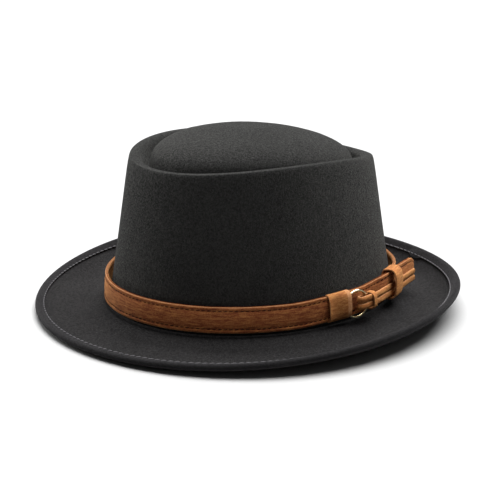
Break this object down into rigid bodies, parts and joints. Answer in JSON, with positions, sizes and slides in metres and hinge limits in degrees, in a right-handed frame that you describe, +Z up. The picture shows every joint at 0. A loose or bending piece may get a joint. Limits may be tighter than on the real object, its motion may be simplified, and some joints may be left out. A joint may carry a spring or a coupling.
{
  "type": "pork pie hat",
  "caption": "Felt pork pie hat with a creased telescope crown, curled brim with bound edge and a suede belt with ring and keepers round the crown.",
  "frame": {"origin": "on the surface that the brim rests on, under the middle of the brim", "axes": "+Z up, front of the hat towards -Y, wearer's left towards +X"},
  "size_m": [0.281, 0.2859, 0.1213],
  "materials": {
    "crown_felt": "napped wool felt",
    "brim_felt": "pressed wool felt",
    "binding_tape": "folded felt tape",
    "brown_suede": "brushed suede",
    "pale_gold": "polished plate"
  },
  "bodies": {
    "root": {"crown": "crown_felt", "brim": "brim_felt", "brim_binding": "binding_tape", "belt_strap": "brown_suede", "wrap_loop": "brown_suede", "ring": "pale_gold", "tongue_strap": "brown_suede", "small_keeper": "brown_suede", "large_keeper": "brown_suede"}
  },
  "joints": []
}
